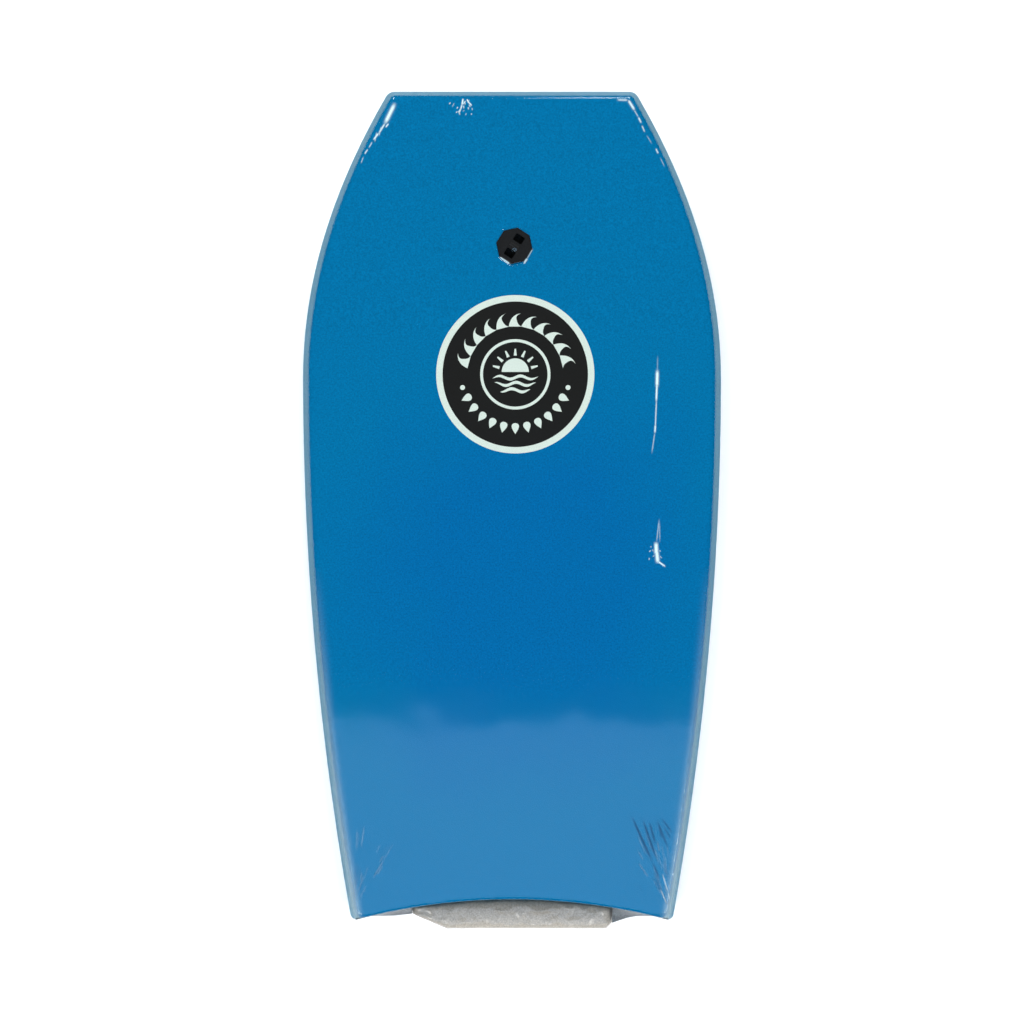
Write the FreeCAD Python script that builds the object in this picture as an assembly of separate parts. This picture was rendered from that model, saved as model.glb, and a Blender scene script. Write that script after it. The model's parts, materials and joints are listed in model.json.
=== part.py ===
"""Foam bodyboard with a crescent tail, built as a laminated board.

A foam block is skinned on every side: a deck sheet on top, a slick sheet
underneath, and an upper and a lower strip along each rail, the nose and the
tail. A screwed leash plug goes through the board, a round sticker lies on the
deck, and the packed leash sits in a bag in the crescent of the tail.

Axes: X across the board, Y towards the nose, Z up out of the deck.
The origin is under the middle of the whole object, on the floor.
"""
import FreeCAD, Part
import math
import os

Vector = FreeCAD.Vector
os.makedirs("parts", exist_ok=True)

# ---- The board's plan, in millimetres ----
BOARD_LENGTH = 1042.5        # tail tips to nose edge
BOARD_WIDTH = 529.0          # across the rails at the widest place
NOSE_WIDTH = 308.5           # across the rails at the nose edge
TAIL_WIDTH = 406.5           # across the rails at the tail tips
WIDE_POINT = 686.5           # tail tips to the widest place
CRESCENT_DEPTH = 27.5        # tail tips to the middle of the tail
NOSE_CORNER_RADIUS = 7.0
TAIL_CORNER_RADIUS = 9.0

# ---- The board's thickness and side profile ----
BOARD_THICKNESS = 54.0
NOSE_ROCKER = 26.0           # how far the nose lifts off the floor
ROCKER_LENGTH = 350.0        # the stretch behind the nose that curves up
APEX_HEIGHT = 28.0           # bottom face to the widest line of the rail
UPPER_LEAN = 11.0            # apex to deck edge, seen from above
LOWER_LEAN = 7.0             # apex to bottom edge, seen from above
TAIL_UPPER_LEAN = 4.5        # the same two at the tail, whose wall is steeper
TAIL_LOWER_LEAN = 3.0
DECK_SKIN = 5.0
SLICK_SKIN = 2.0
RAIL_SKIN = 3.0

# ---- Leash plug ----
PLUG_FROM_NOSE = 193.8
PLUG_OFF_CENTRE = 2.9
PLUG_TURN = -33.0            # degrees about the plug's own axis
PLUG_LIP = 2.5               # how far the octagon's flats stand out past the cup
PLUG_FLANGE = 3.0
PLUG_SINK = 0.6              # how far each flange is pressed into its skin
PLUG_EDGE = 1.0              # chamfer round the octagon's top
CUP_DEPTH = 14.0
CUP_WALL = 2.2
SLOT_LENGTH = 12.6
SLOT_WIDTH = 9.6
SLOT_SPACING = 21.0
SLOT_CORNER = 1.2
BAR_RADIUS = 4.0
BAR_RISE = 1.3               # how far the bar stands out of the flange
STEM_DIAMETER = 14.0
STEM_STANDOFF = 8.0          # end of the stem to the bottom face
NUT_LIP = 10.0               # how far the nut's flange stands out past its sleeve
NUT_FLANGE = 3.0
NUT_WALL = 2.9
NUT_SLEEVE_DEPTH = 26.0
COIN_SLOT = (24.0, 3.0, 1.4)  # length, width, depth
THREAD_CLEARANCE = 0.1
HOLE_CLEARANCE = 0.2

# ---- Sticker on the deck ----
STICKER_DIAMETER = 198.0
STICKER_THICKNESS = 0.3
STICKER_FROM_NOSE = 353.7
STICKER_OFF_CENTRE = 4.1

# ---- Bag with the packed leash, in the crescent of the tail ----
BAG_WIDTH = 255.0
BAG_OVERHANG = 13.0          # how far the bag passes the tail tips
BAG_HEIGHT = 23.0
BAG_LIFT = 1.5               # bottom of the bag above the floor
BAG_CUT = (45.0, 19.5)       # the cut corner, along X and Y
BAG_NICK = (8.0, 8.0)        # the other corner
BAG_GAP = 1.0                # bag to tail

# ---- Working values ----
OVERALL = BOARD_LENGTH + BAG_OVERHANG
TAIL_Y = BAG_OVERHANG - OVERALL / 2
STATIONS = 25                # places along the board that shape each rail line
RUN_OUT = 40.0               # how far the rail lines run past nose and tail
REACH = 60.0                 # how far a cutter runs past what it cuts
CUT_TOLERANCE = 0.001        # faces nearer than this count as one when solids are cut
ROCKER_START = BOARD_LENGTH - ROCKER_LENGTH
ROCKER_RADIUS = (ROCKER_LENGTH ** 2 + NOSE_ROCKER ** 2) / (2 * NOSE_ROCKER)
DECK_SEAM = BOARD_THICKNESS - DECK_SKIN
CAVITY_DIAMETER = 2 * math.hypot((SLOT_SPACING + SLOT_WIDTH) / 2, SLOT_LENGTH / 2)
CUP_DIAMETER = CAVITY_DIAMETER + 2 * CUP_WALL
PLUG_FLATS = CUP_DIAMETER + 2 * PLUG_LIP
NUT_BORE_DIAMETER = STEM_DIAMETER + 2 * THREAD_CLEARANCE
NUT_SLEEVE_DIAMETER = NUT_BORE_DIAMETER + 2 * NUT_WALL
NUT_FLANGE_DIAMETER = NUT_SLEEVE_DIAMETER + 2 * NUT_LIP
Z_AXIS = Vector(0, 0, 1)


# ---- Shape of the board as formulas ----
def half_width(s):
    """Half the width over the rails, at a distance s from the tail tips."""
    if s > WIDE_POINT:
        reach, end_width = BOARD_LENGTH - WIDE_POINT, NOSE_WIDTH
    else:
        reach, end_width = WIDE_POINT, TAIL_WIDTH
    loss = (BOARD_WIDTH - end_width) / 2
    return BOARD_WIDTH / 2 - loss * ((s - WIDE_POINT) / reach) ** 2


def side_slope(s):
    """How fast the half width grows towards the nose."""
    if s > WIDE_POINT:
        reach, end_width = BOARD_LENGTH - WIDE_POINT, NOSE_WIDTH
    else:
        reach, end_width = WIDE_POINT, TAIL_WIDTH
    return -(BOARD_WIDTH - end_width) * (s - WIDE_POINT) / reach ** 2


def height(s, level):
    """Height above the floor of a level of the board, curved up at the nose."""
    run = s - ROCKER_START
    if run <= 0:
        return level
    return ROCKER_RADIUS - math.sqrt((ROCKER_RADIUS - level) ** 2 - run ** 2)


def outer_inset(level):
    """Distance in from the apex line to the outside of the rail at a level."""
    if level >= APEX_HEIGHT:
        return UPPER_LEAN * (level - APEX_HEIGHT) / (BOARD_THICKNESS - APEX_HEIGHT)
    return LOWER_LEAN * (APEX_HEIGHT - level) / APEX_HEIGHT


def tail_inset(level):
    """Distance in from the crescent's apex line to the tail's wall at a level."""
    if level >= APEX_HEIGHT:
        return TAIL_UPPER_LEAN * (level - APEX_HEIGHT) / (BOARD_THICKNESS - APEX_HEIGHT)
    return TAIL_LOWER_LEAN * (APEX_HEIGHT - level) / APEX_HEIGHT


def inner_inset(level):
    """Distance in from the apex line to the inside of the rail strip."""
    return outer_inset(level) + RAIL_SKIN


# ---- Lines and solids that follow the board ----
def rail_line(side, inset, level):
    """A line along the whole board, on one side, at an inset and a level."""
    first = -RUN_OUT
    step = (BOARD_LENGTH + 2 * RUN_OUT) / (STATIONS - 1)
    points = []
    places = []
    for i in range(STATIONS):
        s = first + i * step
        x = half_width(s) - inset * math.hypot(1, side_slope(s))
        points.append(Vector(side * x, TAIL_Y + s, height(s, level)))
        places.append(s)
    curve = Part.BSplineCurve()
    curve.interpolate(Points=points, Parameters=places)
    return curve.toShape()


def ruled_solid(lines):
    """A solid between lines that run the same way, joined by ruled faces."""
    pairs = list(zip(lines, lines[1:] + lines[:1]))
    faces = [Part.makeRuledSurface(a, b) for a, b in pairs]
    for end in (0, 1):
        corners = [line.valueAt(line.ParameterRange[end]) for line in lines]
        faces.append(Part.Face(Part.makePolygon(corners + corners[:1])))
    shell = Part.makeShell(faces)
    shell.sewShape()
    solid = Part.makeSolid(shell)
    if solid.Volume < 0:
        solid.reverse()
    return solid


def slab(low, high, inset_of):
    """The full width of the board between two levels, as wide as inset_of says."""
    return ruled_solid([
        rail_line(-1, inset_of(low), low),
        rail_line(-1, inset_of(high), high),
        rail_line(1, inset_of(high), high),
        rail_line(1, inset_of(low), low),
    ])


def under_board():
    """Everything under the bottom face: a flat stretch, then the nose's curve."""
    far, low = TAIL_Y - REACH, -REACH
    start = Vector(-BOARD_WIDTH, TAIL_Y + ROCKER_START, 0)
    points = []
    for share in (0.5, 1.0):
        s = ROCKER_START + share * (ROCKER_LENGTH + RUN_OUT)
        points.append(Vector(-BOARD_WIDTH, TAIL_Y + s, height(s, 0)))
    middle, end = points
    corners = [end, Vector(end.x, end.y, low), Vector(end.x, far, low),
               Vector(end.x, far, 0), start]
    edges = [Part.makeLine(a, b) for a, b in zip(corners, corners[1:])]
    edges.append(Part.Arc(start, middle, end).toShape())
    return Part.Face(Part.Wire(edges)).extrude(Vector(2 * BOARD_WIDTH, 0, 0))


def rail_strip(side, low, high):
    """One side's strip of rail skin between two levels."""
    return ruled_solid([
        rail_line(side, outer_inset(low), low),
        rail_line(side, outer_inset(high), high),
        rail_line(side, inner_inset(high), high),
        rail_line(side, inner_inset(low), low),
    ])


def end_levels():
    return [-REACH / 2, APEX_HEIGHT, BOARD_THICKNESS + REACH / 2]


def nose_profile(skin):
    """The slope of the nose from the side, or of the inside of its skin."""
    corners = []
    for level in end_levels():
        s = BOARD_LENGTH - outer_inset(level) - skin
        corners.append(Vector(-BOARD_WIDTH, TAIL_Y + s, height(s, level)))
    return corners


def across_board(corners):
    """A solid right across the board with the given outline from the side."""
    face = Part.Face(Part.makePolygon(corners + corners[:1]))
    return face.extrude(Vector(2 * BOARD_WIDTH, 0, 0))


def nose_cutter(skin):
    """Everything ahead of the nose, or ahead of the inside of its skin."""
    corners = nose_profile(skin)
    far = TAIL_Y + BOARD_LENGTH + REACH
    top = Vector(-BOARD_WIDTH, far, corners[-1].z)
    bottom = Vector(-BOARD_WIDTH, far, corners[0].z)
    return across_board(corners + [top, bottom])


def nose_band():
    """Where the nose's skin is, from side to side."""
    return across_board(nose_profile(0) + nose_profile(RAIL_SKIN)[::-1])


def tail_line(inset, level):
    """The crescent, a parabola through both tips, at an inset and a level."""
    half = TAIL_WIDTH / 2
    reach = half + REACH
    middle = TAIL_Y + CRESCENT_DEPTH + inset
    drop = CRESCENT_DEPTH * (reach / half) ** 2
    curve = Part.BezierCurve()
    curve.setPoles([
        Vector(-reach, middle - drop, level),
        Vector(0, middle + drop, level),
        Vector(reach, middle - drop, level),
    ])
    return curve.toShape()


def straight_tail_line(y, level):
    reach = TAIL_WIDTH / 2 + REACH
    return Part.LineSegment(Vector(-reach, y, level), Vector(reach, y, level)).toShape()


def tail_lines(skin):
    """The crescent at three levels, or the inside of its skin."""
    return [tail_line(tail_inset(level) + skin, level) for level in end_levels()]


def tail_cutter(skin):
    """Everything behind the tail, or behind the inside of its skin."""
    levels = end_levels()
    lines = tail_lines(skin)
    far = TAIL_Y - CRESCENT_DEPTH - 2 * REACH
    lines.append(straight_tail_line(far, levels[-1]))
    lines.append(straight_tail_line(far, levels[0]))
    return ruled_solid(lines)


def tail_band():
    """Where the tail's skin is, from side to side."""
    return ruled_solid(tail_lines(0) + tail_lines(RAIL_SKIN)[::-1])


def corner_cutter(corner, along, across, radius):
    """What a rounded corner takes off, between two edges leaving the corner."""
    along.normalize()
    across.normalize()
    middle = (along + across).normalize()
    half_angle = along.getAngle(across) / 2
    start = corner + along * (radius / math.tan(half_angle))
    end = corner + across * (radius / math.tan(half_angle))
    centre = corner + middle * (radius / math.sin(half_angle))
    arc = Part.Arc(start, centre - middle * radius, end).toShape()
    outside = corner - middle * radius
    edges = [arc]
    edges.append(Part.makeLine(end, end + (outside - corner)))
    edges.append(Part.makeLine(end + (outside - corner), start + (outside - corner)))
    edges.append(Part.makeLine(start + (outside - corner), start))
    face = Part.Face(Part.Wire(edges))
    return face.extrude(Z_AXIS * (BOARD_THICKNESS + NOSE_ROCKER + REACH))


def corner_cutters():
    nose_y = TAIL_Y + BOARD_LENGTH
    cutters = []
    for side in (-1, 1):
        nose = Vector(side * NOSE_WIDTH / 2, nose_y, -REACH / 2)
        back = Vector(-side * side_slope(BOARD_LENGTH), -1, 0)
        cutters.append(corner_cutter(nose, back, Vector(-side, 0, 0), NOSE_CORNER_RADIUS))
        tip = Vector(side * TAIL_WIDTH / 2, TAIL_Y, -REACH / 2)
        ahead = Vector(side * side_slope(0), 1, 0)
        inward = Vector(-side, 4 * CRESCENT_DEPTH / TAIL_WIDTH, 0)
        cutters.append(corner_cutter(tip, ahead, inward, TAIL_CORNER_RADIUS))
    return cutters


# ---- Leash plug, made about its own axis with the deck face at z = 0 ----
def plug_place():
    """Where the plug's axis meets the deck, square to the curved deck."""
    s = BOARD_LENGTH - PLUG_FROM_NOSE
    run = max(0.0, s - ROCKER_START)
    tilt = math.degrees(math.asin(run / (ROCKER_RADIUS - BOARD_THICKNESS)))
    spot = Vector(PLUG_OFF_CENTRE, TAIL_Y + s, height(s, BOARD_THICKNESS))
    lean = FreeCAD.Placement(spot, FreeCAD.Rotation(Vector(1, 0, 0), tilt))
    turn = FreeCAD.Placement(Vector(), FreeCAD.Rotation(Z_AXIS, PLUG_TURN))
    return lean.multiply(turn)


def placed(shape):
    """A plug piece moved from its own axis to its place in the board."""
    moved = shape.copy()
    moved.Placement = plug_place()
    return moved


def drum(diameter, low, high):
    return Part.makeCylinder(diameter / 2, high - low, Vector(0, 0, low))


def octagon(low, high):
    sides = 8
    radius = PLUG_FLATS / 2 / math.cos(math.pi / sides)
    corners = []
    for i in range(sides + 1):
        angle = (i + 0.5) * 2 * math.pi / sides
        corners.append(Vector(radius * math.cos(angle), radius * math.sin(angle), low))
    return Part.Face(Part.makePolygon(corners)).extrude(Vector(0, 0, high - low))


def plug_slot(y, low, high):
    box = Part.makeBox(SLOT_LENGTH, SLOT_WIDTH, high - low,
                       Vector(-SLOT_LENGTH / 2, y - SLOT_WIDTH / 2, low))
    upright = [e for e in box.Edges if abs(e.tangentAt(0).z) > 0.5]
    return box.makeFillet(SLOT_CORNER, upright)


def plug_deck_half():
    """Octagonal flange with two slots and a bar, over a cup and a stem."""
    top = PLUG_FLANGE - PLUG_SINK
    flange = octagon(-PLUG_SINK, top)
    rim = [e for e in flange.Edges if abs(e.CenterOfMass.z - top) < PLUG_EDGE / 10]
    flange = flange.makeChamfer(PLUG_EDGE, rim)
    cavity_floor = CUP_WALL - CUP_DEPTH
    body = flange.fuse(drum(CUP_DIAMETER, -CUP_DEPTH, 0))
    body = body.fuse(drum(STEM_DIAMETER, STEM_STANDOFF - BOARD_THICKNESS, -CUP_DEPTH))
    body = body.cut(drum(CAVITY_DIAMETER, cavity_floor, -PLUG_SINK))
    for side in (-1, 1):
        body = body.cut(plug_slot(side * SLOT_SPACING / 2, -PLUG_FLANGE, PLUG_FLANGE))
    bar = Part.makeCylinder(BAR_RADIUS, SLOT_LENGTH,
                            Vector(-SLOT_LENGTH / 2, 0, top + BAR_RISE - BAR_RADIUS),
                            Vector(1, 0, 0))
    return placed(body.fuse(bar).removeSplitter())


def plug_bottom_half():
    """Round flange with a coin slot and a sleeve that the stem screws into."""
    face = -BOARD_THICKNESS + PLUG_SINK - NUT_FLANGE
    inner = -BOARD_THICKNESS + PLUG_SINK
    flange = drum(NUT_FLANGE_DIAMETER, face, inner)
    rim = [e for e in flange.Edges if abs(e.CenterOfMass.z - face) < PLUG_EDGE / 10]
    flange = flange.makeChamfer(PLUG_EDGE, rim)
    sleeve = drum(NUT_SLEEVE_DIAMETER, inner, NUT_SLEEVE_DEPTH - BOARD_THICKNESS)
    bore = drum(NUT_BORE_DIAMETER, inner, NUT_SLEEVE_DEPTH - BOARD_THICKNESS)
    length, width, depth = COIN_SLOT
    slot = Part.makeBox(length, width, depth, Vector(-length / 2, -width / 2, face))
    return placed(flange.fuse(sleeve).cut(bore).cut(slot).removeSplitter())


def plug_room():
    """The stepped hole through the board and the seats pressed in its skins."""
    cup = drum(CUP_DIAMETER + 2 * HOLE_CLEARANCE, -CUP_DEPTH - HOLE_CLEARANCE, REACH)
    sleeve = drum(NUT_SLEEVE_DIAMETER + 2 * HOLE_CLEARANCE,
                  -BOARD_THICKNESS - REACH, -CUP_DEPTH)
    seat = octagon(-PLUG_SINK, REACH)
    nut_seat = drum(NUT_FLANGE_DIAMETER, -BOARD_THICKNESS - REACH,
                    PLUG_SINK - BOARD_THICKNESS)
    return [placed(shape) for shape in (cup, sleeve, seat, nut_seat)]


# ---- Sticker and bag ----
def sticker():
    """A thin disc that lies on the deck and follows its curve."""
    top = BOARD_THICKNESS + STICKER_THICKNESS
    sheet = slab(BOARD_THICKNESS, top, lambda level: UPPER_LEAN)
    centre = Vector(STICKER_OFF_CENTRE, TAIL_Y + BOARD_LENGTH - STICKER_FROM_NOSE, 0)
    column = Part.makeCylinder(STICKER_DIAMETER / 2, 2 * BOARD_THICKNESS + REACH, centre)
    return sheet.common(column)


def leash_bag():
    """A closed bag whose front edge follows the tail and whose corners are cut."""
    half = BAG_WIDTH / 2
    back = TAIL_Y - BAG_OVERHANG
    front = TAIL_Y + CRESCENT_DEPTH + REACH
    corners = [
        Vector(-half, front, BAG_LIFT),
        Vector(-half, back + BAG_CUT[1], BAG_LIFT),
        Vector(-half + BAG_CUT[0], back, BAG_LIFT),
        Vector(half - BAG_NICK[0], back, BAG_LIFT),
        Vector(half, back + BAG_NICK[1], BAG_LIFT),
        Vector(half, front, BAG_LIFT),
    ]
    plan = Part.Face(Part.makePolygon(corners + corners[:1]))
    block = plan.extrude(Z_AXIS * BAG_HEIGHT)
    low, high = -REACH / 2, BOARD_THICKNESS + REACH
    behind_tail = ruled_solid([
        tail_line(-BAG_GAP, low),
        tail_line(-BAG_GAP, high),
        straight_tail_line(TAIL_Y - 2 * REACH - CRESCENT_DEPTH, high),
        straight_tail_line(TAIL_Y - 2 * REACH - CRESCENT_DEPTH, low),
    ])
    return block.common(behind_tail)


# ---- The laminated board ----
def one_solid(shape):
    if len(shape.Solids) != 1:
        raise ValueError(f"a piece came out as {len(shape.Solids)} solids")
    return shape.Solids[0]


def trimmed(shape, cutters):
    """The shape less each cutter in turn, which keeps its edges tight."""
    for cutter in cutters:
        shape = shape.cut([cutter], CUT_TOLERANCE)
    return one_solid(shape)


def within(shape, limit):
    return one_solid(shape.common([limit], CUT_TOLERANCE))


def board_parts():
    nose_face, nose_inside = nose_cutter(0), nose_cutter(RAIL_SKIN)
    tail_face, tail_inside = tail_cutter(0), tail_cutter(RAIL_SKIN)
    outside = [nose_face, tail_face] + corner_cutters()
    cup_hole, sleeve_hole, seat, nut_seat = plug_room()
    parts = {}

    deck = slab(DECK_SEAM, BOARD_THICKNESS, outer_inset)
    parts["deck_skin"] = trimmed(deck, outside + [cup_hole, seat])
    slick = slab(-SLICK_SKIN, SLICK_SKIN, outer_inset)
    cutters = outside + [sleeve_hole, nut_seat, under_board()]
    parts["slick_bottom"] = trimmed(slick, cutters)

    for name, low, high in (("lower", SLICK_SKIN, APEX_HEIGHT),
                            ("upper", APEX_HEIGHT, DECK_SEAM)):
        for side, hand in ((-1, "left"), (1, "right")):
            strip = rail_strip(side, low, high)
            parts[f"{name}_rail_{hand}"] = trimmed(strip, outside)
        layer = slab(low, high, inner_inset)
        parts[f"{name}_nose_strip"] = within(layer, nose_band())
        parts[f"{name}_tail_strip"] = within(layer, tail_band())

    core = ruled_solid([
        rail_line(side, inner_inset(level), level)
        for side, level in ((-1, SLICK_SKIN), (-1, APEX_HEIGHT), (-1, DECK_SEAM),
                            (1, DECK_SEAM), (1, APEX_HEIGHT), (1, SLICK_SKIN))
    ])
    parts["foam_core"] = trimmed(core, [nose_inside, tail_inside, cup_hole, sleeve_hole])
    return parts


def main():
    parts = board_parts()
    parts["plug_deck_half"] = plug_deck_half()
    parts["plug_bottom_half"] = plug_bottom_half()
    parts["deck_sticker"] = sticker()
    parts["leash_bag"] = leash_bag()
    for name, shape in parts.items():
        print(f"{name:20s} solids {len(shape.Solids)} valid {shape.isValid()} "
              f"volume {shape.Volume:12.1f}")
        shape.exportStep(f"parts/{name}.step")
    spot = plug_place()
    axis = spot.Rotation.multVec(Z_AXIS)
    print("plug", spot.Base, "axis", axis)


main()
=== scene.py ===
"""Looks of a shrink-wrapped foam bodyboard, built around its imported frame.

The board lies deck up on a pale floor, nose towards +Y. Every length is in
metres and is worked out from the frame or from the properties below.
"""

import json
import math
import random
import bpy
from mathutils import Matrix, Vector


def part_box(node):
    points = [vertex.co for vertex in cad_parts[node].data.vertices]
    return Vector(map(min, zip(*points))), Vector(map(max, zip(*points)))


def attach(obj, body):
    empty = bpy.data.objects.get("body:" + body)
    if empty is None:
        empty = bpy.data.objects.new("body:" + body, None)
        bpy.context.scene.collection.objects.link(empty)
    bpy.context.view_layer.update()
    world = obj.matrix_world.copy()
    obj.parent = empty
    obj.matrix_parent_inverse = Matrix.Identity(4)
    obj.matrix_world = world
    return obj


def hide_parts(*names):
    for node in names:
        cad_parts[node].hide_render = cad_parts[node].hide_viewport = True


bl_info = {
    "name": "Shrink-wrapped bodyboard",
    "version": (1, 0, 0),
    "blender": (4, 5, 0),
    "location": "View3D > Sidebar > Bodyboard",
    "description": "Builds a foam bodyboard in clear film, with its plug, sticker and leash bag",
    "category": "Object",
}

import bmesh
import bpy
from bpy.props import FloatProperty, FloatVectorProperty, IntProperty, PointerProperty
from mathutils import Matrix, Vector, noise

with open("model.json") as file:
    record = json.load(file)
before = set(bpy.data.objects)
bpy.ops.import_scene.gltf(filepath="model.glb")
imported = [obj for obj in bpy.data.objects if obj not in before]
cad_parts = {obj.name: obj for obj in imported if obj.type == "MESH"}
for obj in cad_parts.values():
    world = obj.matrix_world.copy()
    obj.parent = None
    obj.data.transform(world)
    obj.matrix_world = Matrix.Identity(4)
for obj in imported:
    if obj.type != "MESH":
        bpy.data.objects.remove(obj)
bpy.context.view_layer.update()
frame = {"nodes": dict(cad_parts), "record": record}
MM = 0.001
BODY = "root"

# ---- What the frame says about the board ----
HALF_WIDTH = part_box("lower_rail_right")[1].x
BAG_LOW, BAG_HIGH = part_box("leash_bag")
STICKER_LOW, STICKER_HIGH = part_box("deck_sticker")
BOARD_LENGTH = 1042.5 * MM
NOSE_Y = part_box("lower_nose_strip")[1].y
TAIL_Y = NOSE_Y - BOARD_LENGTH
PLUG_BAR = frame["record"]["mounts"][0]
PLUG_AT = Vector((PLUG_BAR["pos_m"][0], PLUG_BAR["pos_m"][1], 0))
PLUG_TURN = math.atan2(PLUG_BAR["axis"][1], PLUG_BAR["axis"][0])
STICKER_AT = (STICKER_LOW + STICKER_HIGH) / 2
STICKER_RADIUS = (STICKER_HIGH.x - STICKER_LOW.x) / 2

# ---- How finely lines and surfaces are divided ----
SIDE_STEPS = 64
END_STEPS = 32
CORNER_STEPS = 8
FINE = 3                     # how much finer the film's net is than the board's
ROUND_STEPS = 8
SHARP_ANGLE = math.radians(40)

# ---- Holes, print, bag and film ----
FLANGE_SEAT = 19.3 * MM      # radii of the holes under the plug's two flanges
NUT_SEAT = 10.3 * MM
TOP_INK = 0.30 * MM          # how high the upper print stands off the deck
INK = 0.04 * MM              # and how thick a layer of print is
BAG_CUT = (45 * MM, 19.5 * MM)                  # what the bag's back corners lack
BAG_NICK = (8 * MM, 8 * MM)
CREASED_EDGE = 4 * MM        # creases run this far down over the deck's edge
FLAT_FILM = 0.3 * MM         # film within this of the deck's height lies on its flat
FILM_MIRROR = 0.04           # share of light that the film mirrors straight on
FILM_GLANCE = 0.5            # and how much more of it at a glance
FOLD_SHADE_TINT = (0.30, 0.42, 0.52)                # painted shade: what a dark fold lets through
PAINTED_REFLECTION_CENTRE = (30 * MM, -90 * MM, 54 * MM)      # where the painted reflection leaves the foam its deepest blue


def length(name, default, text):
    return FloatProperty(name=name, description=text, default=default, unit="LENGTH",
                         subtype="DISTANCE", precision=4)


def colour(name, default, text):
    return FloatVectorProperty(name=name, description=text, default=default, size=3,
                               subtype="COLOR", min=0.0, max=1.0)


# ---- Properties ----
class BoardSizes(bpy.types.PropertyGroup):
    """Shape of the laminated board"""
    length: length("Length", BOARD_LENGTH, "Tail tips to nose edge")
    width: length("Width", 2 * HALF_WIDTH, "Across the rails at the widest place")
    nose_width: length("Nose width", 308.5 * MM, "Across the rails at the nose edge")
    tail_width: length("Tail width", 406.5 * MM, "Across the rails at the tail tips")
    wide_point: length("Wide point", 686.5 * MM, "Tail tips to the widest place")
    crescent: length("Crescent", 27.5 * MM, "Depth of the curve in the tail")
    thickness: length("Thickness", 54 * MM, "Bottom face to deck face")
    rocker: length("Nose rocker", 26 * MM, "How far the nose lifts")
    rocker_length: length("Rocker length", 350 * MM, "The stretch that curves up")
    apex: length("Apex", 28 * MM, "Height of the rail's widest line")
    upper_lean: length("Upper lean", 11 * MM, "Deck edge to apex from above")
    lower_lean: length("Lower lean", 7 * MM, "Bottom edge to apex from above")
    tail_upper_lean: length("Tail upper lean", 4.5 * MM, "The upper lean at the tail")
    tail_lower_lean: length("Tail lower lean", 3 * MM, "The lower lean at the tail")
    deck_skin: length("Deck skin", 5 * MM, "Thickness of the deck sheet")
    slick_skin: length("Slick skin", 2 * MM, "Thickness of the bottom sheet")
    rail_skin: length("Rail skin", 3 * MM, "Thickness of the rail strips")
    edge_round: length("Deck edge", 6.5 * MM, "Radius of the deck's rounded edge")
    nose_corner: length("Nose corner", 7 * MM, "Radius of the nose corners")
    tail_corner: length("Tail corner", 9 * MM, "Radius of the tail tips")


class FinishColours(bpy.types.PropertyGroup):
    """Colours of the board's finishes"""
    # Painted reflection: the deck blue is deeper in the middle, where something dark is mirrored,
    # and lighter further out, where the room is mirrored.
    deck: colour("Deck foam", (0.0, 0.130, 0.346), "Blue in the middle of the deck sheet")
    deck_outer_reflection: colour("Outer deck foam", (0.0, 0.153, 0.340), "Blue further out on it")
    rail: colour("Rail foam", (0.0, 0.145, 0.273), "Blue of the rail strips")
    core: colour("Core foam", (0.86, 0.86, 0.84), "White beaded foam")
    slick: colour("Slick sheet", (0.78, 0.82, 0.85), "Pale gloss bottom")
    plug: colour("Plug", (0.009, 0.0095, 0.010), "Black moulded plastic")
    print_white: colour("White print", (0.65, 0.743, 0.657), "Light ink of the sticker")
    print_black: colour("Black print", (0.007, 0.007, 0.006), "Dark ink of the sticker")
    bag: colour("Leash bag", (0.576, 0.519, 0.434), "Frosted bag")
    floor: colour("Floor", (0.92, 0.92, 0.92), "Pale studio floor")


class FilmSizes(bpy.types.PropertyGroup):
    """How the clear film lies on the board"""
    gap: length("Film gap", 0.5 * MM, "Film to foam")
    wave: length("Film wave", 0.20 * MM, "Height of its slow waves")
    wave_span: length("Wave span", 90 * MM, "Length of its slow waves")
    plug_tent: length("Plug tent", 2.2 * MM, "How far the plug's flange lifts it")
    bar_tent: length("Bar tent", 1.5 * MM, "How much more the plug's bar lifts it")
    plug_flat: length("Plug flat", 20.8 * MM, "Half the octagon that the plug holds up")
    plug_foot: length("Plug foot", 23.6 * MM, "Half the octagon where it lands on the deck")


class StickerSizes(bpy.types.PropertyGroup):
    """The printed roundel"""
    border: length("Border", 8 * MM, "Width of the light border")
    ring: length("Inner ring", 44 * MM, "Outer radius of the thin ring")
    ring_line: length("Ring line", 3.6 * MM, "Width of the thin ring")
    mark_radius: length("Mark radius", 68 * MM, "Radius of the row of marks")
    crests: IntProperty(name="Crests", description="Waves in the upper row", default=11, min=1)
    drops: IntProperty(name="Drops", description="Drops in the lower row", default=11, min=1)


class StageSizes(bpy.types.PropertyGroup):
    """Camera and light"""
    camera_height: length("Camera height", 2.53, "Lens to floor")
    camera_ahead: length("Camera ahead", 1.8 * MM, "How far the lens is ahead of the middle")
    focal: FloatProperty(name="Focal length", description="Lens of the camera in millimetres",
                         default=69.56, min=10.0)
    floor_size: length("Floor size", 14.0, "Side of the floor")
    panel_tint: colour("Panel tint", (0.5, 0.70, 1.0), "Light of the panel over the tail")


# ---- Shape of the board as formulas, in metres ----
def end_of(p, s):
    """How far the side reaches from the widest place to its end, and the width there."""
    if s > p.wide_point:
        return p.length - p.wide_point, p.nose_width
    return p.wide_point, p.tail_width


def half_width(p, s):
    reach, end_width = end_of(p, s)
    return p.width / 2 - (p.width - end_width) / 2 * ((s - p.wide_point) / reach) ** 2


def side_slope(p, s):
    reach, end_width = end_of(p, s)
    return -(p.width - end_width) * (s - p.wide_point) / reach ** 2


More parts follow.
